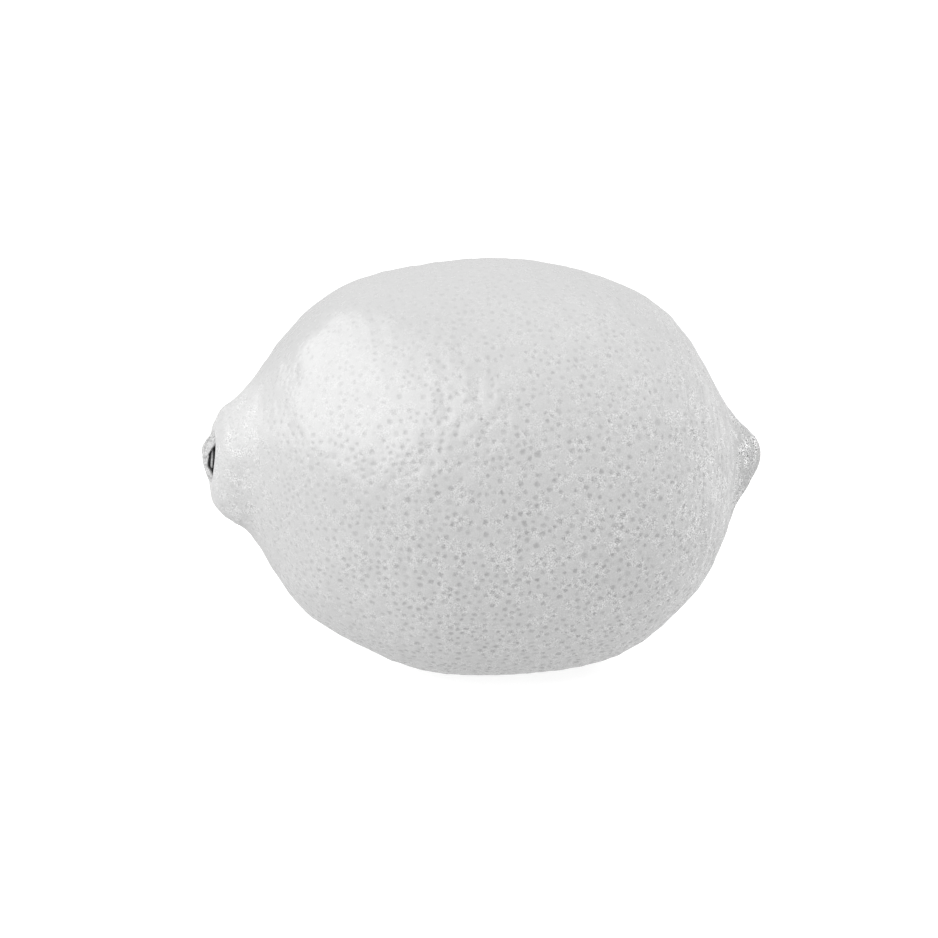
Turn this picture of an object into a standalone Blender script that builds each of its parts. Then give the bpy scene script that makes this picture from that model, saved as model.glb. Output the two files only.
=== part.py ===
"""A whole lemon lying on its side, in metres, +Z up, with its stem end at -X.

The fruit is one solid: belly, neck, nipple and the shallow pit at the stem end. The dried
calyx with its stub of stem sits in that pit as a small solid of its own. The origin is the
middle of the footprint, on the surface that the lemon lies on.
"""

from math import pi

import bmesh
import bpy
import numpy as np
from mathutils import Matrix, Vector

MM = 0.001

# Side outline of the peel, from the floor of the stem pit over the neck, belly and nipple to
# the blossom tip. Each point is (along, radius, lift of the ring's centre), in millimetres
# from the middle of the belly.
OUTLINE_MM = (
    (-40.1, 0.0, 2.7),
    (-40.2, 2.3, 2.7),
    (-41.2, 3.3, 2.8),
    (-41.5, 3.9, 2.9),
    (-41.5, 4.7, 2.9),
    (-41.1, 6.3, 2.4),
    (-40.6, 7.3, 2.5),
    (-38.8, 9.0, 2.2),
    (-37.1, 10.2, 2.3),
    (-33.9, 14.1, 1.9),
    (-29.0, 21.1, 0.9),
    (-21.5, 26.9, 1.0),
    (-11.5, 30.7, 0.1),
    (1.0, 32.1, -0.1),
    (12.0, 31.3, -0.4),
    (21.8, 28.4, -0.7),
    (29.3, 23.3, -0.4),
    (34.3, 17.1, -1.1),
    (38.0, 10.3, -0.7),
    (40.2, 6.8, -0.1),
    (42.4, 4.3, 0.3),
    (43.9, 2.1, 0.9),
    (44.6, 0.0, 0.5),
)

# Where the peel leaves a plain turned shape. The swells are nil on the outline above, which
# runs down the two sides of the fruit that face SIDE_TURN and away from it.
SIDE_TURN = 80 * pi / 180
OVAL = 0.5 * MM
THREE_SIDES = 0.35 * MM
BELLY_REACH = 30 * MM
NECK_FURROWS = 6
NECK_FURROW_DEPTH = 0.2 * MM
NECK_AT = -36 * MM
NIPPLE_FURROWS = 5
NIPPLE_FURROW_DEPTH = 0.15 * MM
NIPPLE_AT = 38 * MM
FURROW_REACH = 4.5 * MM

# The neck's end face leans: its lower side lies further out than its upper side.
NECK_LEAN = 0.08
LIP_AT = -41.5 * MM
LEAN_REACH = 5 * MM

# The peel gives a little under the fruit's weight, which leaves a flat spot to rest on.
BELLY_HEIGHT = 31.7 * MM
MIDDLE_SHIFT = -0.6 * MM

FRUIT_SIDES = 72
FRUIT_RINGS = 54
RING_CROWDING = 0.65

# The calyx button, from its crown over the rim of its sepals and the ring under them down to
# its foot in the pit: (height above the pit's floor, radius, how much higher its upper side
# stands, share of the sepals), in millimetres. The sepal on the side that faces -Y has broken
# off short and stands up, which bares the ring.
BUTTON_MM = (
    (2.8, 0.0, 0.0, 0.0),
    (2.85, 0.9, 0.08, 0.0),
    (2.75, 1.7, 0.08, 0.2),
    (2.5, 2.5, -0.1, 0.6),
    (2.1, 3.25, -0.3, 1.0),
    (1.9, 3.45, -0.3, 1.0),
    (1.75, 3.25, -0.3, 1.0),
    (1.9, 2.6, -0.15, 0.5),
    (1.98, 1.9, -0.1, 0.0),
    (1.85, 1.75, -0.1, 0.0),
    (1.7, 2.1, -0.12, 0.0),
    (1.6, 2.33, -0.12, 0.0),
    (1.45, 2.33, -0.12, 0.0),
    (1.3, 2.0, -0.1, 0.0),
    (0.9, 1.6, -0.05, 0.0),
    (0.52, 1.35, 0.0, 0.0),
    (0.39, 0.8, 0.0, 0.0),
    (0.37, 0.0, 0.0, 0.0),
)
BUTTON_LIFT = 2.7 * MM
BUTTON_SIDES = 40
BUTTON_RINGS = 42
SEPALS = 5
SEPAL_NOTCH = 0.4 * MM
BROKEN_CUT = 0.95 * MM
BROKEN_RISE = 0.3 * MM
BROKEN_SPREAD = 50 * pi / 180

PEEL_COLOUR = (0.68, 0.68, 0.68, 1.0)
PEEL_ROUGHNESS = 0.4
BUTTON_COLOUR = (0.36, 0.36, 0.36, 1.0)
BUTTON_ROUGHNESS = 0.85
CREASE_ANGLE = 40 * pi / 180


def clear_scene():
    for item in list(bpy.data.objects):
        bpy.data.objects.remove(item, do_unlink=True)


def natural_spline(knots, values):
    """The smooth curve through values at knots, as a function of the place along them."""
    gaps = np.diff(knots)
    count = len(knots)
    rows = np.eye(count)
    bends = np.zeros(count)
    for i in range(1, count - 1):
        rows[i, i - 1 : i + 2] = gaps[i - 1], 2 * (gaps[i - 1] + gaps[i]), gaps[i]
        slope_before = (values[i] - values[i - 1]) / gaps[i - 1]
        slope_after = (values[i + 1] - values[i]) / gaps[i]
        bends[i] = 6 * (slope_after - slope_before)
    bends = np.linalg.solve(rows, bends)

    def curve(place):
        i = np.clip(np.searchsorted(knots, place) - 1, 0, count - 2)
        to_next = knots[i + 1] - place
        past = place - knots[i]
        gap = gaps[i]
        cubic = (bends[i] * to_next**3 + bends[i + 1] * past**3) / (6 * gap)
        start = (values[i] / gap - bends[i] * gap / 6) * to_next
        end = (values[i + 1] / gap - bends[i + 1] * gap / 6) * past
        return cubic + start + end

    return curve


def outline_curves(points_mm):
    """The length of an outline, and a spline over that length for each of its columns."""
    points = np.array(points_mm) * MM
    steps = np.hypot(np.diff(points[:, 0]), np.diff(points[:, 1]))
    knots = np.concatenate(([0.0], np.cumsum(steps)))
    return knots[-1], [natural_spline(knots, column) for column in points.T]


def swell(along, turn):
    """How far the peel stands out of the turned shape, all round and from end to end."""
    side = turn - SIDE_TURN
    belly = np.exp(-((along / BELLY_REACH) ** 4))
    neck = np.exp(-(((along - NECK_AT) / FURROW_REACH) ** 2))
    nipple = np.exp(-(((along - NIPPLE_AT) / FURROW_REACH) ** 2))
    body = belly * (OVAL * np.sin(side) ** 2 + THREE_SIDES * np.sin(3 * side))
    neck_furrows = neck * NECK_FURROW_DEPTH * np.sin(NECK_FURROWS * side)
    nipple_furrows = nipple * NIPPLE_FURROW_DEPTH * np.sin(NIPPLE_FURROWS * side)
    return body + neck_furrows + nipple_furrows


def peel_points(share, turn):
    """Points on the peel: share runs 0 to 1 from pit to tip, turn goes round the long axis."""
    length, (along_of, radius_of, lift_of) = outline_curves(OUTLINE_MM)
    place = length * (share - RING_CROWDING * np.sin(2 * pi * share) / (2 * pi))
    along = along_of(place)
    radius = np.maximum(radius_of(place), 0.0)
    radius = radius + swell(along, turn) * np.minimum(radius / FURROW_REACH, 1.0)
    lean = NECK_LEAN * np.exp(-(((along - LIP_AT) / LEAN_REACH) ** 2))
    above = radius * np.sin(turn)
    return np.stack(
        (
            along + lean * above + MIDDLE_SHIFT,
            radius * np.cos(turn),
            above + lift_of(place) + BELLY_HEIGHT,
        ),
        axis=-1,
    )


def button_points(share, turn):
    """Points on the calyx button: share runs 0 to 1 from crown to foot. One sepal points up."""
    length, (height_of, radius_of, tilt_of, sepal_of) = outline_curves(BUTTON_MM)
    place = length * share
    sepal = np.clip(sepal_of(place) / MM, 0.0, 1.0)
    notches = SEPAL_NOTCH * (np.cos(SEPALS * (turn - pi / 2)) - 1) / 2
    from_broken = pi - np.abs(turn)
    broken = np.exp(-((from_broken / BROKEN_SPREAD) ** 2))
    radius = np.maximum(radius_of(place), 0.0) + sepal * (notches - BROKEN_CUT * broken)
    height = height_of(place) + tilt_of(place) * np.sin(turn) + sepal * BROKEN_RISE * broken
    floor = OUTLINE_MM[0][0] * MM + MIDDLE_SHIFT
    return np.stack(
        (
            floor - height,
            radius * np.cos(turn),
            radius * np.sin(turn) + BUTTON_LIFT + BELLY_HEIGHT,
        ),
        axis=-1,
    )


def turned_mesh(sides, rings, points_of):
    """A ball, as a bmesh, whose rings are moved onto a turned surface."""
    bm = bmesh.new()
    bmesh.ops.create_uvsphere(bm, u_segments=sides, v_segments=rings, radius=1.0)
    bmesh.ops.rotate(bm, verts=bm.verts, cent=(0, 0, 0), matrix=Matrix.Rotation(-pi / 2, 3, "Y"))
    ball = np.array([vert.co for vert in bm.verts])
    share = np.arccos(np.clip(-ball[:, 0], -1, 1)) / pi
    turn = np.arctan2(ball[:, 2], ball[:, 1])
    for vert, point in zip(bm.verts, points_of(share, turn)):
        vert.co = Vector(point)
    return bm


def press_flat(bm):
    """Cut off what would lie under the surface, and close the flat spot with one face."""
    cut = bmesh.ops.bisect_plane(
        bm,
        geom=bm.verts[:] + bm.edges[:] + bm.faces[:],
        plane_co=(0, 0, 0),
        plane_no=(0, 0, -1),
        clear_outer=True,
    )
    rim = [item for item in cut["geom_cut"] if isinstance(item, bmesh.types.BMEdge)]
    bmesh.ops.contextual_create(bm, geom=rim)
    bm.normal_update()
    bmesh.ops.recalc_face_normals(bm, faces=bm.faces)


def material(name, colour, roughness):
    made = bpy.data.materials.new(name)
    made.use_nodes = True
    shader = made.node_tree.nodes["Principled BSDF"]
    shader.inputs["Base Color"].default_value = colour
    shader.inputs["Roughness"].default_value = roughness
    shader.inputs["Metallic"].default_value = 0.0
    return made


def add_part(collection, name, bm, finish):
    mesh = bpy.data.meshes.new(name)
    bm.to_mesh(mesh)
    bm.free()
    mesh.shade_smooth()
    mesh.set_sharp_from_angle(angle=CREASE_ANGLE)
    mesh.materials.append(finish)
    part = bpy.data.objects.new(name, mesh)
    collection.objects.link(part)
    return part


def lemon_fruit(collection):
    bm = turned_mesh(FRUIT_SIDES, FRUIT_RINGS, peel_points)
    press_flat(bm)
    return add_part(collection, "lemon_fruit", bm, material("peel", PEEL_COLOUR, PEEL_ROUGHNESS))


def calyx_button(collection):
    bm = turned_mesh(BUTTON_SIDES, BUTTON_RINGS, button_points)
    finish = material("dried_calyx", BUTTON_COLOUR, BUTTON_ROUGHNESS)
    return add_part(collection, "calyx_button", bm, finish)


clear_scene()
lemon = bpy.data.collections.new("lemon")
bpy.context.scene.collection.children.link(lemon)
lemon_fruit(lemon)
calyx_button(lemon)
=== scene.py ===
from math import cos, pi, radians, sin

import bmesh
import bpy
import numpy as np
from mathutils import Matrix, Vector, noise
from mathutils.kdtree import KDTree


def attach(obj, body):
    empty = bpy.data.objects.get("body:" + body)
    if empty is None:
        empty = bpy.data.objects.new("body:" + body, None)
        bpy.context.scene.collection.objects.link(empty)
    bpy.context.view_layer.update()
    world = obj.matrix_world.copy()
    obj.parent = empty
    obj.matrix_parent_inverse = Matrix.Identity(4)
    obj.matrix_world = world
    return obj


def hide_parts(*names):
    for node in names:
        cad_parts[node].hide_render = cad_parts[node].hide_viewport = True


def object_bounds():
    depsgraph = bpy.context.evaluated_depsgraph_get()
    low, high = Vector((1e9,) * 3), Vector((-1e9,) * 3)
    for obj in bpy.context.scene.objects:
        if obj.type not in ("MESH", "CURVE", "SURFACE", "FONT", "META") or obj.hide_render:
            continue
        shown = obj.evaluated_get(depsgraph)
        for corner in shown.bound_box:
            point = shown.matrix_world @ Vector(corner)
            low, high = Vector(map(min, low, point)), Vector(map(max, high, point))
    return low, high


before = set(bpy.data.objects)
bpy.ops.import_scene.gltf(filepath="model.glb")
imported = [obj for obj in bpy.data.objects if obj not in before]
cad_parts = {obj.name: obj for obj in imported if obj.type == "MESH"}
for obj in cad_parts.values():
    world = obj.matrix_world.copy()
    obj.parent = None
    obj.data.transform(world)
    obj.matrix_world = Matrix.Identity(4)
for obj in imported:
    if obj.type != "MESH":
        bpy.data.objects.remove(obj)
cad_low, cad_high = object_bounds()


# The peel is the whole outside of the fruit, with its belly, neck and nipple. It is a thin
# waxy skin over white pith, full of oil glands that show as darker dots, each in a shallow
# pit. It lies on the solid fruit, so its form is the same turned outline.
MM = 0.001
OUTLINE_MM = (
    (-40.1, 0.0, 2.7),
    (-40.2, 2.3, 2.7),
    (-41.2, 3.3, 2.8),
    (-41.5, 3.9, 2.9),
    (-41.5, 4.7, 2.9),
    (-41.1, 6.3, 2.4),
    (-40.6, 7.3, 2.5),
    (-38.8, 9.0, 2.2),
    (-37.1, 10.2, 2.3),
    (-33.9, 14.1, 1.9),
    (-29.0, 21.1, 0.9),
    (-21.5, 26.9, 1.0),
    (-11.5, 30.7, 0.1),
    (1.0, 32.1, -0.1),
    (12.0, 31.3, -0.4),
    (21.8, 28.4, -0.7),
    (29.3, 23.3, -0.4),
    (34.3, 17.1, -1.1),
    (38.0, 10.3, -0.7),
    (40.2, 6.8, -0.1),
    (42.4, 4.3, 0.3),
    (43.9, 2.1, 0.9),
    (44.6, 0.0, 0.5),
)
SIDE_TURN = radians(80)
OVAL = 0.5 * MM
THREE_SIDES = 0.35 * MM
BELLY_REACH = 30 * MM
BELLY_RADIUS = 32.1 * MM
BELLY_HEIGHT = 31.7 * MM
MIDDLE_SHIFT = -0.6 * MM
NECK_FURROWS = 6
NECK_FURROW_DEPTH = 0.2 * MM
NECK_AT = -36 * MM
NIPPLE_FURROWS = 5
NIPPLE_FURROW_DEPTH = 0.15 * MM
NIPPLE_AT = 38 * MM
FURROW_REACH = 4.5 * MM
NECK_LEAN = 0.08
LIP_AT = -41.5 * MM
LEAN_REACH = 5 * MM

# Towards both ends of the fruit the glands get smaller and closer, and the skin is wrinkled.
BELLY_MIDDLE = 1 * MM
ENDS_FROM = 30 * MM
ENDS_RISE = 9 * MM

GLANDS = 7500
GLAND_SEED = 11
PLACES_AT_ONCE = 4000
GLAND_GAP = 0.86 * MM
GLAND_GAP_AT_ENDS = 0.6 * MM
GLAND_ROOM = 1.2
CROWDING_AT_ENDS = 0.6
GLAND_RADIUS = 0.56 * MM
GLAND_RADIUS_SPREAD = 0.09 * MM
SMALLER_AT_ENDS = 0.3
GLAND_CUT_PERCENT = 33
WIDEST_RIM = 1.3
PIT_FLOOR_SHARE = 0.6
PIT_FLOOR_TONE = 0.75
PIT_DEPTH = 0.09 * MM
PIT_DEPTH_SPREAD = 0.02 * MM
FAINTEST_GLAND = 0.5
STRONGEST_GLAND = 1.2
SKIN_INSET = 0.08 * MM
NARROWEST_EDGE = 0.057 * MM
WAVE_LENGTHS = (1.6 * MM, 4.5 * MM, 4.5 * MM)
WAVE_HEIGHT = 0.14 * MM
SWELL_LENGTH = 11 * MM
SWELL_HEIGHT = 0.07 * MM
WRINKLE_LENGTHS = (1.1 * MM, 6 * MM, 6 * MM)
WRINKLE_HEIGHT = 0.11 * MM
TIP_SCAR_RADIUS = 0.8 * MM
TIP_SCAR_DEPTH = 0.25 * MM

# How the glands' tone and the grain change over the fruit, and where its end marks begin.
DOTS_TO_TIP = 0.1
DOTS_TO_FLOOR = 0.33
DOTS_LOST_TO_ENDS = 0.45
DOTS_LOST_TO_TOP = 0.38
FAINTEST_DOTS = 0.3
DOTS_LOST_ON_NIPPLE = 0.5
GRAIN_LEVEL = 1.1
GRAIN_TO_TIP = 0.3
GRAIN_TO_FLOOR = 0.35
GRAIN_LOST_TO_TOP = 0.25
NIPPLE_FOOT = 36 * MM
NIPPLE_LENGTH = 2.5 * MM
NIPPLE_GRAIN = 5.5
# Streaks before the nipple are real fine wrinkles in tone with painted glints along them, and that
# zone also gets more speckle glints.
STREAKS_FROM = 22 * MM
STREAKS_RISE = 8 * MM
STREAK_GRAIN_AND_GLINTS = 0.8
NECK_FOOT = -33 * MM
NECK_LENGTH = 5 * MM
NECK_GRAIN = 0.9

# The greys of the peel, and how many humps of each noise lie on a metre of it.
PEEL_GREY = 0.39
DARKEST_GLAND_GREY = 0.19
# Painted shade: the peel on the floor of the stem pit, under the calyx, is coloured nearly black.
STEM_PIT_SHADE_GREY = 0.04
TIP_SCAR_GREY = 0.22
# The nipple is coloured darker: partly its own duller tone, partly painted shade for its side
# turned from the light.
NIPPLE_TONE_AND_SHADE = 0.8
STEM_PIT_RADIUS = 3.35 * MM
STEM_PIT_EDGE = 0.3 * MM
STEM_PIT_LIFT = 2.8 * MM
STEM_PIT_LAST = -36 * MM
PAST_STEM_PIT = -35 * MM
NOISE_LOW_HIGH = (0.3, 0.7)
PATCHES_PER_METRE = 70.0
PATCH_TONES = (0.985, 1.015)
SPECKLED_AREAS_PER_METRE = 500.0
SPECKLED_LOW_HIGH = (0.45, 0.6)
SPECKLED_SHARES = (0.25, 1.0)
# Speckles are the peel's fine grain; their bright peaks, which reach further than the dark ones,
# are painted glints on the pore rims.
SPECKLES_PER_METRE = 5200.0
SPECKLE_AND_GLINT_TONES = (-0.19, 0.28)
# The streaks' tones lean to light as painted glints along the wrinkles.
STREAKS_PER_METRE = 1400.0
STREAKS_ACROSS = 0.12
STREAK_AND_GLINT_TONES = (-0.09, 0.13)
GLAND_TONE_RANGE = (0.1, 2.0)
GLOSS_PATCHES_PER_METRE = 900.0
PEEL_ROUGHNESS = (0.19, 0.29)
ROUGHER_AT_ENDS = 0.36
SKIN_BUMPS_PER_METRE = 2600.0
SKIN_BUMP_STRENGTH = 0.35
SKIN_BUMP_DEPTH = 0.03 * MM


def natural_spline(knots, values):
    """The smooth curve through values at knots, as a function of the place along them."""
    gaps = np.diff(knots)
    count = len(knots)
    rows = np.eye(count)
    bends = np.zeros(count)
    for i in range(1, count - 1):
        rows[i, i - 1 : i + 2] = gaps[i - 1], 2 * (gaps[i - 1] + gaps[i]), gaps[i]
        slope_before = (values[i] - values[i - 1]) / gaps[i - 1]
        slope_after = (values[i + 1] - values[i]) / gaps[i]
        bends[i] = 6 * (slope_after - slope_before)
    bends = np.linalg.solve(rows, bends)

    def curve(place):
        i = np.clip(np.searchsorted(knots, place) - 1, 0, count - 2)
        to_next = knots[i + 1] - place
        past = place - knots[i]
        gap = gaps[i]
        cubic = (bends[i] * to_next**3 + bends[i + 1] * past**3) / (6 * gap)
        start = (values[i] / gap - bends[i] * gap / 6) * to_next
        end = (values[i + 1] / gap - bends[i + 1] * gap / 6) * past
        return cubic + start + end

    return curve


def outline_curves(points_mm):
    """The length of an outline, and a spline over that length for each of its columns."""
    points = np.array(points_mm) * MM
    steps = np.hypot(np.diff(points[:, 0]), np.diff(points[:, 1]))
    knots = np.concatenate(([0.0], np.cumsum(steps)))
    return knots[-1], [natural_spline(knots, column) for column in points.T]


def swell(along, turn):
    """How far the peel stands out of the turned shape, all round and from end to end."""
    side = turn - SIDE_TURN
    belly = np.exp(-((along / BELLY_REACH) ** 4))
    neck = np.exp(-(((along - NECK_AT) / FURROW_REACH) ** 2))
    nipple = np.exp(-(((along - NIPPLE_AT) / FURROW_REACH) ** 2))
    body = belly * (OVAL * np.sin(side) ** 2 + THREE_SIDES * np.sin(3 * side))
    neck_furrows = neck * NECK_FURROW_DEPTH * np.sin(NECK_FURROWS * side)
    nipple_furrows = nipple * NIPPLE_FURROW_DEPTH * np.sin(NIPPLE_FURROWS * side)
    return body + neck_furrows + nipple_furrows


def ball_places(directions):
    """From unit directions: the share of the way from pit to tip, and the turn about X."""
    share = np.arccos(np.clip(-directions[:, 0], -1, 1)) / pi
    return share, np.arctan2(directions[:, 2], directions[:, 1])


def directions_of(share, turn):
    around = np.sin(pi * share)
    return np.stack((-np.cos(pi * share), around * np.cos(turn), around * np.sin(turn)), axis=-1)


peel_length, (along_of, radius_of, lift_of) = outline_curves(OUTLINE_MM)


def peel_points(directions):
    """Points on the smooth peel, where a ball's points come to lie."""
    share, turn = ball_places(directions)
    place = peel_length * share
    along = along_of(place)
    radius = np.maximum(radius_of(place), 0.0)
    radius = radius + swell(along, turn) * np.minimum(radius / FURROW_REACH, 1.0)
    lean = NECK_LEAN * np.exp(-(((along - LIP_AT) / LEAN_REACH) ** 2))
    above = radius * np.sin(turn)
    return np.stack(
        (
            along + lean * above + MIDDLE_SHIFT,
            radius * np.cos(turn),
            above + lift_of(place) + BELLY_HEIGHT,
        ),
        axis=-1,
    )


def unit(vectors):
    return vectors / np.linalg.norm(vectors, axis=1, keepdims=True)


def peel_normals(directions):
    """Outward normals of the smooth peel, from four points a little way round each one."""
    small = 0.002
    off_the_ends = np.abs(directions[:, :1]) < 0.9
    helper = np.where(off_the_ends, (1.0, 0.0, 0.0), (0.0, 0.0, 1.0))
    east = unit(np.cross(helper, directions))
    north = np.cross(directions, east)
    runs = [
        peel_points(unit(directions + small * side)) - peel_points(unit(directions - small * side))
        for side in (east, north)
    ]
    return unit(np.cross(*runs))


def end_share(along):
    """0 on the belly and 1 at either end of the fruit."""
    return np.clip((np.abs(along - BELLY_MIDDLE) - ENDS_FROM) / ENDS_RISE, 0.0, 1.0)


def nipple_share(along):
    """0 up to the nipple's foot and 1 on the nipple."""
    return np.clip((along - NIPPLE_FOOT) / NIPPLE_LENGTH, 0.0, 1.0)


def scatter_glands():
    """Unit directions of the oil glands: random places, none too near another."""
    rng = np.random.default_rng(GLAND_SEED)
    cells = {}
    found = []
    while len(found) < GLANDS:
        share = rng.random(PLACES_AT_ONCE)
        turn = rng.random(PLACES_AT_ONCE) * 2 * pi
        chance = rng.random(PLACES_AT_ONCE)
        directions = directions_of(share, turn)
        points = peel_points(directions)
        radius = radius_of(peel_length * share)
        ends = end_share(points[:, 0])
        wanted = radius / BELLY_RADIUS * (1 + CROWDING_AT_ENDS * ends) / (1 + CROWDING_AT_ENDS)
        gaps = GLAND_GAP + (GLAND_GAP_AT_ENDS - GLAND_GAP) * ends
        for i in np.flatnonzero(chance < wanted):
            point = Vector(points[i])
            home = tuple(int(c // GLAND_GAP) for c in point)
            near = (
                other
                for x in (home[0] - 1, home[0], home[0] + 1)
                for y in (home[1] - 1, home[1], home[1] + 1)
                for z in (home[2] - 1, home[2], home[2] + 1)
                for other in cells.get((x, y, z), ())
            )
            if all((point - other).length > gaps[i] for other in near):
                cells.setdefault(home, []).append(point)
                found.append(directions[i])
                if len(found) == GLANDS:
                    break
    return np.array(found)


def spread_glands(directions):
    """Push glands that stand too near each other apart, three times over."""
    for _ in range(3):
        points = peel_points(directions)
        room = GLAND_ROOM * (GLAND_GAP + (GLAND_GAP_AT_ENDS - GLAND_GAP) * end_share(points[:, 0]))
        tree = KDTree(len(points))
        for i, point in enumerate(points):
            tree.insert(point, i)
        tree.balance()
        push = np.zeros_like(directions)
        for i, point in enumerate(points):
            for _, j, apart in tree.find_range(point, room[i]):
                if j != i:
                    push[i] += (directions[i] - directions[j]) * (room[i] / apart - 1) / 2
        directions = unit(directions + push)
    return directions


def noise_over(points, lengths, layer):
    """Smooth noise from -1 to 1 over space, with humps of about those lengths along X, Y, Z."""
    shift = np.array((7.31, 3.17, 5.53)) * layer
    return np.array([noise.noise(Vector(place)) for place in points / lengths + shift])


def dot_tone(directions):
    """How dark the glands are: most so a little below the middle of the belly."""
    x, _, z = directions.T
    tone = 1.0 + DOTS_TO_TIP * x - DOTS_TO_FLOOR * z
    return np.maximum(tone - DOTS_LOST_TO_ENDS * x**2 - DOTS_LOST_TO_TOP * z**2, FAINTEST_DOTS)


def grain_tone(directions):
    """How strong the peel's grain and painted glints are: more so towards the tip and on the lower
    side, and less on top.
    """
    x, _, z = directions.T
    return GRAIN_LEVEL + GRAIN_TO_TIP * x - GRAIN_TO_FLOOR * z - GRAIN_LOST_TO_TOP * z**2


def peel_mesh():
    rng = np.random.default_rng(GLAND_SEED + 1)
    bm = bmesh.new()
    pit = bm.verts.layers.float.new("pit")
    rough = bm.verts.layers.float.new("rough")
    grain_and_glints = bm.verts.layers.float.new("grain_and_glints")
    scar = bm.verts.layers.float.new("scar")
    nipple = bm.verts.layers.float.new("nipple")
    streaks_and_glints = bm.verts.layers.float.new("streaks_and_glints")
    for direction in spread_glands(scatter_glands()):
        bm.verts.new(direction)
    bmesh.ops.convex_hull(bm, input=bm.verts)
    loose = [vert for vert in bm.verts if not vert.link_faces]
    bmesh.ops.delete(bm, geom=loose, context="VERTS")

    # Cutting each corner off the hull leaves a small face in the place of every gland.
    cut = bmesh.ops.bevel(
        bm,
        geom=bm.verts[:],
        affect="VERTICES",
        offset=GLAND_CUT_PERCENT,
        offset_type="PERCENT",
        segments=1,
        profile=0.5,
        material=-1,
    )
    glands = cut["faces"]
    rim_verts = [vert for face in glands for vert in face.verts]
    gland_of = np.repeat(np.arange(len(glands)), [len(face.verts) for face in glands])
    middles = unit(np.array([face.calc_center_median() for face in glands]))
    middle_points = peel_points(middles)
    rims = unit(np.array([vert.co for vert in rim_verts]))
    reach = np.linalg.norm(peel_points(rims) - middle_points[gland_of], axis=1)
    pit_radius = GLAND_RADIUS + GLAND_RADIUS_SPREAD * rng.normal(size=len(glands)).clip(-2, 2)
    pit_radius *= 1 - SMALLER_AT_ENDS * end_share(middle_points[:, 0])
    stretch = np.minimum(pit_radius[gland_of] / reach, WIDEST_RIM)[:, None]
    for vert, place in zip(rim_verts, middles[gland_of] * (1 - stretch) + rims * stretch):
        vert.co = place

    # Inside its rim each gland gets the edge of its floor and the middle of that floor.
    bmesh.ops.inset_individual(bm, faces=glands, thickness=0.0)
    strength = rng.uniform(FAINTEST_GLAND, STRONGEST_GLAND, len(glands))
    strength *= dot_tone(middles) * (1 - DOTS_LOST_ON_NIPPLE * nipple_share(middle_points[:, 0]))
    for face, middle, share in zip(glands, middles, strength):
        for vert in face.verts:
            vert.co = Vector(middle).lerp(vert.co, PIT_FLOOR_SHARE)
            vert[pit] = PIT_FLOOR_TONE * share
    poked = bmesh.ops.poke(bm, faces=glands)
    for vert, share in zip(poked["verts"], strength):
        vert[pit] = share

    # Every point is laid on the peel, sunk into its gland and moved by the waves of the skin.
    directions = unit(np.array([vert.co for vert in bm.verts]))
    depth_share = np.array([vert[pit] for vert in bm.verts])
    smooth_points = peel_points(directions)
    ends = end_share(smooth_points[:, 0])
    waves = noise_over(smooth_points, WAVE_LENGTHS, 1) * WAVE_HEIGHT
    swells = noise_over(smooth_points, SWELL_LENGTH, 2) * SWELL_HEIGHT
    wrinkles = noise_over(smooth_points, WRINKLE_LENGTHS, 4) * WRINKLE_HEIGHT * ends
    pit_depth = PIT_DEPTH + PIT_DEPTH_SPREAD * noise_over(smooth_points, 2 * GLAND_RADIUS, 3)
    tip = peel_points(np.array(((1.0, 0.0, 0.0),)))
    scars = np.exp(-((np.linalg.norm(smooth_points - tip, axis=1) / TIP_SCAR_RADIUS) ** 4))
    sunk = pit_depth * depth_share
    relief = waves + swells + wrinkles - sunk - TIP_SCAR_DEPTH * scars - SKIN_INSET
    points = smooth_points + peel_normals(directions) * relief[:, None]
    points = np.clip(points, cad_low, cad_high)

    # The marks that the material reads: rough ends, grain with painted glints, blossom scar, the
    # nipple for its painted shade, and streaks with painted glints.
    along = smooth_points[:, 0]
    nipples = nipple_share(along)
    streaks = np.clip((along - STREAKS_FROM) / STREAKS_RISE, 0.0, 1.0) * (1 - nipples)
    neck = np.clip((NECK_FOOT - along) / NECK_LENGTH, 0.0, 1.0)
    grain_and_glint_levels = grain_tone(directions) ** 2 + NIPPLE_GRAIN * nipples + NECK_GRAIN * neck
    grain_and_glint_levels = grain_and_glint_levels + STREAK_GRAIN_AND_GLINTS * streaks
    layers = (rough, grain_and_glints, scar, nipple, streaks_and_glints)
    for vert, point, *marks_and_painted_shade in zip(bm.verts, points, ends, grain_and_glint_levels, scars, nipples, streaks):
        vert.co = point
        for layer, mark in zip(layers, marks_and_painted_shade):
            vert[layer] = mark

    # Points that nearly touch would leave folded faces, so they are joined.
    bmesh.ops.remove_doubles(bm, verts=bm.verts, dist=NARROWEST_EDGE)
    bmesh.ops.triangulate(bm, faces=bm.faces)
    bm.normal_update()
    mesh = bpy.data.meshes.new("peel")
    bm.to_mesh(mesh)
    bm.free()
    mesh.shade_smooth()
    return mesh


def new_material(name):
    made = bpy.data.materials.new(name)
    made.use_nodes = True
    tree = made.node_tree
    return made, tree, tree.nodes["Principled BSDF"]


def add_node(tree, kind, values=(), **settings):
    """A shader node with its settings, and values for its inputs by name."""
    node = tree.nodes.new(kind)
    for name, value in settings.items():
        setattr(node, name, value)
    for name, value in dict(values).items():
        node.inputs[name].default_value = value
    return node


def noise_node(tree, per_metre, detail=2.0, across=1.0):
    """Noise with that many humps a metre along X, and across times as many the other ways."""
    place = add_node(tree, "ShaderNodeTexCoord")
    made = add_node(tree, "ShaderNodeTexNoise", {"Scale": per_metre, "Detail": detail})
    stretch = add_node(tree, "ShaderNodeMapping", {"Scale": (1.0, across, across)})
    tree.links.new(place.outputs["Object"], stretch.inputs["Vector"])
    tree.links.new(stretch.outputs["Vector"], made.inputs["Vector"])
    return made.outputs["Fac"]


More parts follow.
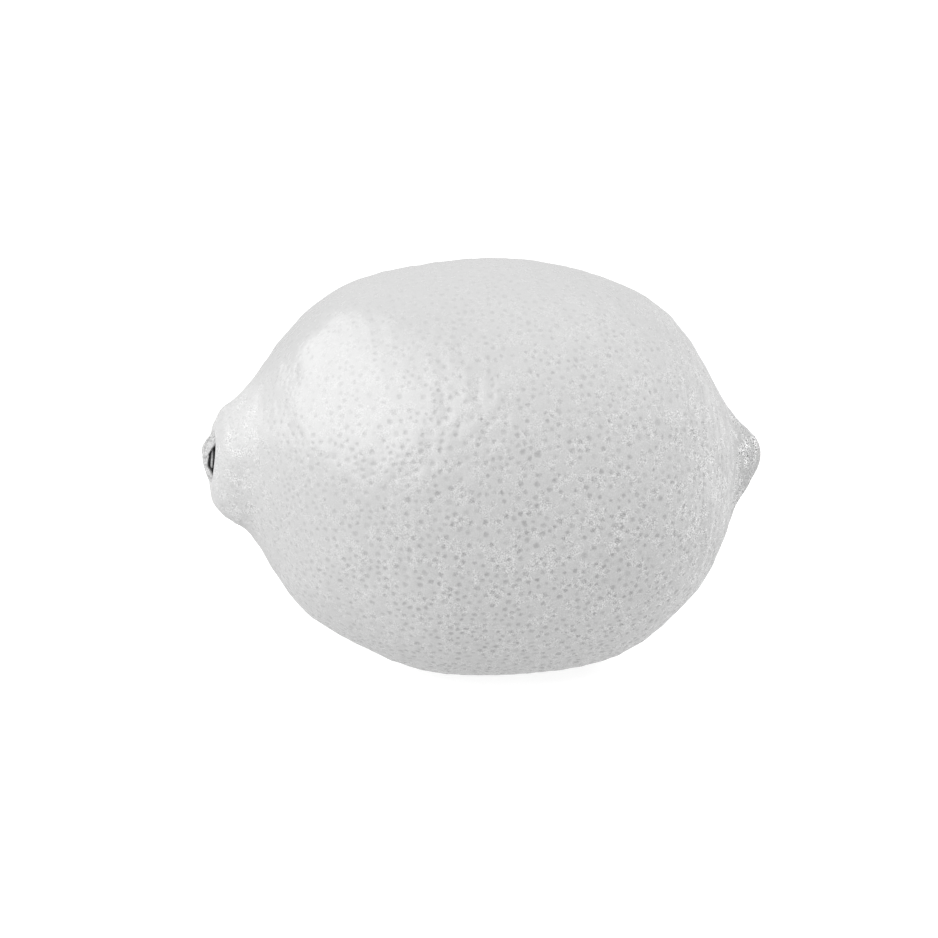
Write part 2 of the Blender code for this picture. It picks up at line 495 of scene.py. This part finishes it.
def map_range(tree, source, low, high, to_low, to_high):
    made = add_node(
        tree,
        "ShaderNodeMapRange",
        {"From Min": low, "From Max": high, "To Min": to_low, "To Max": to_high},
    )
    tree.links.new(source, made.inputs["Value"])
    return made.outputs["Result"]


def arithmetic(tree, operation, first, second):
    """Two values put together, each of them a number or what comes out of a node."""
    made = add_node(tree, "ShaderNodeMath", operation=operation)
    for socket, value in zip(made.inputs, (first, second)):
        if isinstance(value, float):
            socket.default_value = value
        else:
            tree.links.new(value, socket)
    return made.outputs["Value"]


def product(tree, first, *others):
    for value in others:
        first = arithmetic(tree, "MULTIPLY", first, value)
    return first


def grey_colour(tree, shader, grey):
    """Give the shader a base colour that is the same grey in all three channels."""
    colour = add_node(tree, "ShaderNodeCombineColor")
    for socket in colour.inputs:
        tree.links.new(grey, socket)
    tree.links.new(colour.outputs["Color"], shader.inputs["Base Color"])


def fine_bump(tree, shader, height, strength, depth):
    bump = add_node(tree, "ShaderNodeBump", {"Strength": strength, "Distance": depth})
    tree.links.new(height, bump.inputs["Height"])
    tree.links.new(bump.outputs["Normal"], shader.inputs["Normal"])


def outside_stem_pit_shade(tree):
    """0 on the floor of the stem pit, whose peel gets painted shade, and 1 outside it."""
    place = add_node(tree, "ShaderNodeTexCoord").outputs["Object"]
    split = add_node(tree, "ShaderNodeSeparateXYZ")
    tree.links.new(place, split.inputs["Vector"])
    from_axis = add_node(
        tree,
        "ShaderNodeMapping",
        {"Location": (0.0, 0.0, -BELLY_HEIGHT - STEM_PIT_LIFT), "Scale": (0.0, 1.0, 1.0)},
    )
    tree.links.new(place, from_axis.inputs["Vector"])
    length = add_node(tree, "ShaderNodeVectorMath", operation="LENGTH")
    tree.links.new(from_axis.outputs["Vector"], length.inputs[0])
    inside = STEM_PIT_RADIUS - STEM_PIT_EDGE
    outside_it = map_range(tree, length.outputs["Value"], inside, STEM_PIT_RADIUS, 0.0, 1.0)
    past_it = map_range(tree, split.outputs["X"], STEM_PIT_LAST, PAST_STEM_PIT, 0.0, 1.0)
    return arithmetic(tree, "MAXIMUM", outside_it, past_it)


def attribute(tree, name):
    return add_node(tree, "ShaderNodeAttribute", attribute_name=name).outputs["Fac"]


def noise_tones(tree, noise, tones, low_high=NOISE_LOW_HIGH):
    """Noise stretched to run from one tone to another."""
    return map_range(tree, noise, *low_high, *tones)


def peel_material():
    """Waxy grey skin: darker glands, fine grain with painted glints, streaks with painted glints
    before the nipple, duller ends, and painted shade in the stem pit and on the nipple.
    """
    made, tree, shader = new_material("peel")
    patches = noise_tones(tree, noise_node(tree, PATCHES_PER_METRE), PATCH_TONES)
    areas = noise_node(tree, SPECKLED_AREAS_PER_METRE)
    speckled = noise_tones(tree, areas, SPECKLED_SHARES, SPECKLED_LOW_HIGH)
    # Painted glints: the speckles' bright peaks stand for glints on the pore rims, besides the
    # real grain.
    speckles_and_glints = noise_tones(tree, noise_node(tree, SPECKLES_PER_METRE, 1.0), SPECKLE_AND_GLINT_TONES)
    speckles_and_glints = product(tree, speckles_and_glints, speckled, attribute(tree, "grain_and_glints"))
    # Painted glints: the light streaks before the nipple stand for glints along its fine wrinkles.
    lines = noise_node(tree, STREAKS_PER_METRE, 3.0, STREAKS_ACROSS)
    streaks = product(tree, noise_tones(tree, lines, STREAK_AND_GLINT_TONES), attribute(tree, "streaks_and_glints"))
    grain = arithmetic(tree, "ADD", arithmetic(tree, "ADD", speckles_and_glints, streaks), 1.0)
    darkest = DARKEST_GLAND_GREY / PEEL_GREY
    dots = map_range(tree, attribute(tree, "pit"), *GLAND_TONE_RANGE, 1.0, darkest)
    skin = product(tree, patches, grain, dots, PEEL_GREY)

    # Painted shade: the floor of the stem pit, under the calyx, is coloured nearly black.
    stem_pit_shade = map_range(tree, outside_stem_pit_shade(tree), 0.0, 1.0, STEM_PIT_SHADE_GREY / PEEL_GREY, 1.0)
    tip_scar = map_range(tree, attribute(tree, "scar"), 0.0, 1.0, 1.0, TIP_SCAR_GREY / PEEL_GREY)
    # Painted shade: the nipple is coloured darker, partly its own tone and partly for its side
    # turned from the light.
    nipple = map_range(tree, attribute(tree, "nipple"), 0.0, 1.0, 1.0, NIPPLE_TONE_AND_SHADE)
    marks_and_painted_shade = product(tree, stem_pit_shade, tip_scar, nipple)
    grey_colour(tree, shader, product(tree, skin, marks_and_painted_shade))

    rough = attribute(tree, "rough")
    gloss = noise_tones(tree, noise_node(tree, GLOSS_PATCHES_PER_METRE), PEEL_ROUGHNESS)
    dull = map_range(tree, product(tree, rough, rough), 0.0, 1.0, 0.0, ROUGHER_AT_ENDS)
    tree.links.new(arithmetic(tree, "ADD", gloss, dull), shader.inputs["Roughness"])
    bumps = noise_node(tree, SKIN_BUMPS_PER_METRE, 3.0)
    fine_bump(tree, shader, bumps, SKIN_BUMP_STRENGTH, SKIN_BUMP_DEPTH)
    return made


def add_piece(name, mesh, material):
    mesh.materials.append(material)
    piece = bpy.data.objects.new(name, mesh)
    bpy.context.scene.collection.objects.link(piece)
    return piece


peel = add_piece("peel", peel_mesh(), peel_material())
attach(peel, "root")
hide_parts("lemon_fruit")


# The calyx button is what is left of the flower's calyx and of the stem: a crumbly woody knob
# with the scar of the stem in its middle, whose sepals droop onto the lip of the pit, over a
# thin smooth ring. It has dried hard and has grown onto the floor of the stem pit.
BUTTON_MM = (
    (2.8, 0.0, 0.0, 0.0),
    (2.85, 0.9, 0.08, 0.0),
    (2.75, 1.7, 0.08, 0.2),
    (2.5, 2.5, -0.1, 0.6),
    (2.1, 3.25, -0.3, 1.0),
    (1.9, 3.45, -0.3, 1.0),
    (1.75, 3.25, -0.3, 1.0),
    (1.9, 2.6, -0.15, 0.5),
    (1.98, 1.9, -0.1, 0.0),
    (1.85, 1.75, -0.1, 0.0),
    (1.7, 2.1, -0.12, 0.0),
    (1.6, 2.33, -0.12, 0.0),
    (1.45, 2.33, -0.12, 0.0),
    (1.3, 2.0, -0.1, 0.0),
    (0.9, 1.6, -0.05, 0.0),
    (0.52, 1.35, 0.0, 0.0),
    (0.39, 0.8, 0.0, 0.0),
    (0.37, 0.0, 0.0, 0.0),
)
BUTTON_LIFT = 2.7 * MM
SEPALS = 5
SEPAL_NOTCH = 0.15 * MM
BROKEN_CUT = 0.95 * MM
BROKEN_RISE = 0.3 * MM
BROKEN_SPREAD = radians(37)
BROKEN_SQUARENESS = 6
SEPAL_DROOP = 0.62 * MM
SEPAL_REACH = 0.75 * MM
BUTTON_SIDES = 200
BUTTON_RINGS = 140

# Where the face ends, the knob's edge starts, and the knob and the ring end, as shares of the
# way from crown to foot, and how wide the blends between them are.
FACE_END = 0.3
EDGE_START = 0.4
KNOB_END = 0.6
RING_END = 0.73
BLEND = 0.05
EDGE_BLEND = 0.03
GROOVE_WIDTH = 0.04
FOOT_FROM = -0.02
FOOT_BLEND = 0.04

CRUMB_LENGTH = 0.45 * MM
CRUMB_HEIGHT = 0.2 * MM
CRUMBS_ON_RING = 0.15
RAG_LENGTH = 0.9 * MM
RAG_DEPTH = 0.22 * MM
RAGGED_SHARE = 0.2
RIM_FROM = 2.2 * MM
RIM_WIDTH = 0.8 * MM
CRACKS = 9
CRACK_SHARPNESS = 0.4
CRACK_BEND = 0.5
CRACK_BEND_LENGTH = 1.5 * MM
CRACK_DEPTH = 0.15 * MM
SCAR_RADIUS = 1.1 * MM
SCAR_DEPTH = 0.25 * MM
BEHIND_FACE = 0.3

BUTTON_GREY = 0.41
# Painted shade: these greys and weights colour the cracks, groove, foot, crumb hollows and broken
# edge nearly black.
CRACK_SHADE_GREY = 0.03
CRACK_DARKNESS = 0.5
BROKEN_DARKNESS = 0.9
CRUMB_DARKNESS = 0.6
DEEP_CRUMB = 0.3
GROOVE_DARKNESS = 1.4
BARK_PER_METRE = 3200.0
BARK_LOW_HIGH = (0.35, 0.65)
BARK_TONES = (0.68, 1.22)
BUTTON_ROUGHNESS = 0.85
BARK_BUMPS_PER_METRE = 5000.0
BARK_BUMP_STRENGTH = 0.6
BARK_BUMP_DEPTH = 0.05 * MM

button_length, (height_of, button_radius_of, tilt_of, sepal_of) = outline_curves(BUTTON_MM)
pit_floor = OUTLINE_MM[0][0] * MM + MIDDLE_SHIFT


def broken_share(turn):
    """1 where the sepal on the side that faces -Y has broken off, and 0 all round the rest."""
    from_broken = pi - np.abs(turn)
    return np.exp(-((from_broken / BROKEN_SPREAD) ** BROKEN_SQUARENESS))


def button_points(share, turn):
    """Points on the smooth button: share runs 0 to 1 from crown to foot. One sepal points up."""
    place = button_length * share
    sepal = np.clip(sepal_of(place) / MM, 0.0, 1.0)
    notches = SEPAL_NOTCH * (np.cos(SEPALS * (turn - pi / 2)) - 1) / 2
    broken = broken_share(turn)
    reach = notches - BROKEN_CUT * broken + SEPAL_REACH * (1 - broken)
    radius = np.maximum(button_radius_of(place), 0.0) + sepal * reach
    lift = BROKEN_RISE * broken - SEPAL_DROOP * (1 - broken)
    height = height_of(place) + tilt_of(place) * np.sin(turn) + sepal * lift
    return np.stack(
        (
            pit_floor - height,
            radius * np.cos(turn),
            radius * np.sin(turn) + BUTTON_LIFT + BELLY_HEIGHT,
        ),
        axis=-1,
    )


def button_mesh():
    bm = bmesh.new()
    bmesh.ops.create_uvsphere(bm, u_segments=BUTTON_SIDES, v_segments=BUTTON_RINGS, radius=1.0)
    bmesh.ops.rotate(bm, verts=bm.verts, cent=(0, 0, 0), matrix=Matrix.Rotation(-pi / 2, 3, "Y"))
    share, turn = ball_places(np.array([vert.co for vert in bm.verts]))
    points = button_points(share, turn)
    axis = np.array((0.0, 0.0, BUTTON_LIFT + BELLY_HEIGHT))
    outward = (points - axis) * (0.0, 1.0, 1.0)
    radius = np.linalg.norm(outward, axis=1)

    # The knob is crumbly and split from its rim towards the scar, and the rim is ragged. The
    # ring below it is nearly smooth.
    knob = np.clip((KNOB_END - share) / BLEND, 0.0, 1.0)
    past_knob = np.clip((share - KNOB_END) / BLEND, 0.0, 1.0)
    ring = past_knob * np.clip((RING_END - share) / BLEND, 0.0, 1.0)
    fine_crumbs = np.abs(noise_over(points, CRUMB_LENGTH / 2, 6))
    crumbs = np.abs(noise_over(points, CRUMB_LENGTH, 5)) + 0.5 * fine_crumbs
    bend = CRACK_BEND * noise_over(points, CRACK_BEND_LENGTH, 7)
    split = np.abs(np.sin(CRACKS * (turn + bend) / 2)) ** CRACK_SHARPNESS
    towards_rim = np.clip((radius - 0.8 * SCAR_RADIUS) / SCAR_RADIUS, 0.0, 1.0)
    cracks = (1 - split) * towards_rim * knob
    scar = np.clip((SCAR_RADIUS - radius) / (0.2 * SCAR_RADIUS), 0.0, 1.0) * knob
    crumbly = crumbs * CRUMB_HEIGHT * (knob + CRUMBS_ON_RING * ring)
    sunk = crumbly + cracks * CRACK_DEPTH + scar * SCAR_DEPTH
    points[:, 0] += sunk * np.where(share < FACE_END, 1.0, BEHIND_FACE)
    rags = np.clip(noise_over(points, RAG_LENGTH, 8) + RAGGED_SHARE, 0.0, 1.0) * RAG_DEPTH
    rim = np.clip((radius - RIM_FROM) / RIM_WIDTH, 0.0, 1.0) * knob
    drawn_in = (rags + crumbs * CRUMB_HEIGHT + cracks * CRACK_DEPTH) * rim
    points -= outward / np.maximum(radius, MM / 10)[:, None] * drawn_in[:, None]
    points = np.clip(points, cad_low, cad_high)

    # Painted shade darkens the cracks, the groove between knob and ring, the foot, the hollows of
    # the crumbs, and the face under the broken edge.
    dark = bm.verts.layers.float.new("dark")
    uneven = 0.5 * noise_over(points, CRUMB_LENGTH, 10)
    from_groove = np.abs(share - KNOB_END) / GROOVE_WIDTH
    groove = np.clip(GROOVE_DARKNESS + uneven - from_groove, 0.0, 1.0)
    on_edge = np.clip((share - EDGE_START) / EDGE_BLEND + 2 * uneven, 0.0, 1.0)
    broken_face = on_edge * np.clip((KNOB_END - share) / EDGE_BLEND, 0.0, 1.0)
    foot = np.clip((share - RING_END - FOOT_FROM) / FOOT_BLEND, 0.0, 1.0)
    deep_crumbs = CRUMB_DARKNESS * np.clip(crumbs - DEEP_CRUMB, 0, 1) * knob
    shade = CRACK_DARKNESS * cracks + groove + foot + deep_crumbs
    shade = np.clip(shade + BROKEN_DARKNESS * broken_face * broken_share(turn), 0.0, 1.0)
    for vert, point, depth in zip(bm.verts, points, shade):
        vert.co = point
        vert[dark] = depth
    bm.normal_update()
    mesh = bpy.data.meshes.new("calyx_knob_and_ring")
    bm.to_mesh(mesh)
    bm.free()
    mesh.shade_smooth()
    return mesh


def button_material():
    """Dry grey wood, mottled and fissured, with painted shade nearly black in its cracks, groove
    and foot.
    """
    made, tree, shader = new_material("dried_calyx")
    bark = noise_tones(tree, noise_node(tree, BARK_PER_METRE, 4.0), BARK_TONES, BARK_LOW_HIGH)
    # Painted shade, nearly black, in the cracks, groove, foot, crumb hollows and under the broken
    # edge.
    shade = map_range(tree, attribute(tree, "dark"), 0.0, 1.0, BUTTON_GREY, CRACK_SHADE_GREY)
    grey_colour(tree, shader, product(tree, bark, shade))
    shader.inputs["Roughness"].default_value = BUTTON_ROUGHNESS
    bumps = noise_node(tree, BARK_BUMPS_PER_METRE, 4.0)
    fine_bump(tree, shader, bumps, BARK_BUMP_STRENGTH, BARK_BUMP_DEPTH)
    return made


button = add_piece("calyx_knob_and_ring", button_mesh(), button_material())
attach(button, "root")
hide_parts("calyx_button")


# The floor is a wide plain sheet of pale acrylic, lit from below, which keeps the shadows weak
# and comes out white all round the lemon. The peel doesn't mirror it.
FLOOR_RADIUS = 12.0
FLOOR_GREY = 0.38
FLOOR_GLOW = 0.8

bm = bmesh.new()
bmesh.ops.create_circle(bm, cap_ends=True, segments=64, radius=FLOOR_RADIUS)
floor_mesh = bpy.data.meshes.new("floor")
bm.to_mesh(floor_mesh)
bm.free()
floor_material, _, shader = new_material("pale_floor")
shader.inputs["Base Color"].default_value = (FLOOR_GREY, FLOOR_GREY, FLOOR_GREY, 1.0)
shader.inputs["Roughness"].default_value = 0.9
shader.inputs["Specular IOR Level"].default_value = 0.0
shader.inputs["Emission Color"].default_value = (1.0, 1.0, 1.0, 1.0)
shader.inputs["Emission Strength"].default_value = FLOOR_GLOW
floor = add_piece("floor", floor_mesh, floor_material)
floor.visible_glossy = False


# Two wide soft suns, one low on the left and one high on the right, shade the lemon in a room
# of even pale walls. A window at the upper left shows only as the long gloss on the peel.
MIDDLE = Vector((MIDDLE_SHIFT, 0.0, BELLY_HEIGHT))
ROOM_STRENGTH = 0.76
SUN_SPREAD = radians(60)
SUN_STRENGTH = 2.5
SUN_AZIMUTH = radians(-72)
SUN_ELEVATION = radians(25)
FILL_STRENGTH = 2.6
FILL_AZIMUTH = radians(80)
FILL_ELEVATION = radians(54)
LIGHT_DISTANCE = 0.9
WINDOW_AZIMUTH = radians(-70)
WINDOW_ELEVATION = radians(44)
WINDOW_WIDTH = 2.7
WINDOW_HEIGHT = 1.65
WINDOW_GLOW = 3.6
WINDOW_LEAN = 0.5
WINDOW_FADE_FAR = 0.09
WINDOW_FADE_NEAR = 0.24
WINDOW_FADE_BELOW = 0.14
WINDOW_FADE_ABOVE = 0.4


def way(azimuth, elevation):
    """The direction from the lemon to what stands at that azimuth and elevation."""
    return Vector((sin(azimuth) * cos(elevation), -cos(azimuth) * cos(elevation), sin(elevation)))


def facing(thing, towards, distance, middle=MIDDLE):
    """Stand a light or camera at a distance from the middle, looking back at it."""
    turned = towards.to_track_quat("Z", "Y").to_matrix().to_4x4()
    thing.matrix_world = Matrix.Translation(middle + towards * distance) @ turned
    bpy.context.scene.collection.objects.link(thing)


def add_sun(name, strength, azimuth, elevation):
    """A wide soft sun that shades the lemon and leaves no glint on it."""
    light = bpy.data.lights.new(name, "SUN")
    light.energy = strength
    light.angle = SUN_SPREAD
    sun = bpy.data.objects.new(name, light)
    sun.visible_glossy = False
    facing(sun, way(azimuth, elevation), LIGHT_DISTANCE)


add_sun("soft_sun", SUN_STRENGTH, SUN_AZIMUTH, SUN_ELEVATION)
add_sun("fill_sun", FILL_STRENGTH, FILL_AZIMUTH, FILL_ELEVATION)

bm = bmesh.new()
bmesh.ops.create_grid(bm, x_segments=1, y_segments=1, size=0.5)
bmesh.ops.scale(bm, verts=bm.verts, vec=(WINDOW_WIDTH, WINDOW_HEIGHT, 1))
stand = way(WINDOW_AZIMUTH, WINDOW_ELEVATION)
turned = stand.to_track_quat("Z", "Y").to_matrix()
bmesh.ops.rotate(bm, verts=bm.verts, cent=(0, 0, 0), matrix=turned)
bmesh.ops.translate(bm, verts=bm.verts, vec=MIDDLE + stand * LIGHT_DISTANCE)
window_mesh = bpy.data.meshes.new("window")
bm.to_mesh(window_mesh)
bm.free()


def window_material():
    """Light that fades towards all four edges, of which the far one leans."""
    made, tree, shader = new_material("window_light")
    place = add_node(tree, "ShaderNodeTexCoord").outputs["Object"]
    shares = []
    for axis, size in ((turned.col[0], WINDOW_WIDTH), (turned.col[1], WINDOW_HEIGHT)):
        along = add_node(tree, "ShaderNodeVectorMath", {1: tuple(axis)}, operation="DOT_PRODUCT")
        tree.links.new(place, along.inputs[0])
        middle = (MIDDLE + stand * LIGHT_DISTANCE).dot(axis)
        first, last = middle - size / 2, middle + size / 2
        shares.append(map_range(tree, along.outputs["Value"], first, last, 0.0, 1.0))
    across, up = shares
    lean = map_range(tree, up, 0.0, 1.0, -WINDOW_LEAN / 2, WINDOW_LEAN / 2)
    leaning = arithmetic(tree, "ADD", across, lean)
    far_side = map_range(tree, leaning, 0.0, WINDOW_FADE_FAR, 0.0, 1.0)
    near_side = map_range(tree, across, 1.0, 1.0 - WINDOW_FADE_NEAR, 0.0, 1.0)
    below = map_range(tree, up, 0.0, WINDOW_FADE_BELOW, 0.0, 1.0)
    above = map_range(tree, up, 1.0, 1.0 - WINDOW_FADE_ABOVE, 0.0, 1.0)
    sides = product(tree, far_side, near_side)
    glow = product(tree, sides, product(tree, below, above), WINDOW_GLOW)
    shader.inputs["Base Color"].default_value = (0.0, 0.0, 0.0, 1.0)
    shader.inputs["Specular IOR Level"].default_value = 0.0
    shader.inputs["Emission Color"].default_value = (1.0, 1.0, 1.0, 1.0)
    tree.links.new(glow, shader.inputs["Emission Strength"])
    return made


window = add_piece("window", window_mesh, window_material())
window.visible_camera = False
window.visible_diffuse = False
window.visible_shadow = False

room = bpy.data.worlds.new("room")
room.use_nodes = True
walls = room.node_tree.nodes["Background"]
walls.inputs["Color"].default_value = (1.0, 1.0, 1.0, 1.0)
walls.inputs["Strength"].default_value = ROOM_STRENGTH
bpy.context.scene.world = room
bpy.context.scene.view_settings.view_transform = "Standard"


# The camera looks at the side of the lemon from a little above, and slightly from the stem
# end, far enough away to keep the lemon's form flat.
CAMERA_AZIMUTH = radians(-10)
CAMERA_ELEVATION = radians(10)
CAMERA_DISTANCE = 0.4819
LENS = 120.0
AIM_RIGHT = -1.83 * MM
AIM_UP = -0.42 * MM

back = way(CAMERA_AZIMUTH, CAMERA_ELEVATION)
right = Vector((cos(CAMERA_AZIMUTH), sin(CAMERA_AZIMUTH), 0.0))
aim = MIDDLE + right * AIM_RIGHT + back.cross(right) * AIM_UP
camera_data = bpy.data.cameras.new("camera")
camera_data.lens = LENS
camera = bpy.data.objects.new("camera", camera_data)
facing(camera, back, CAMERA_DISTANCE, aim)
bpy.context.scene.camera = camera
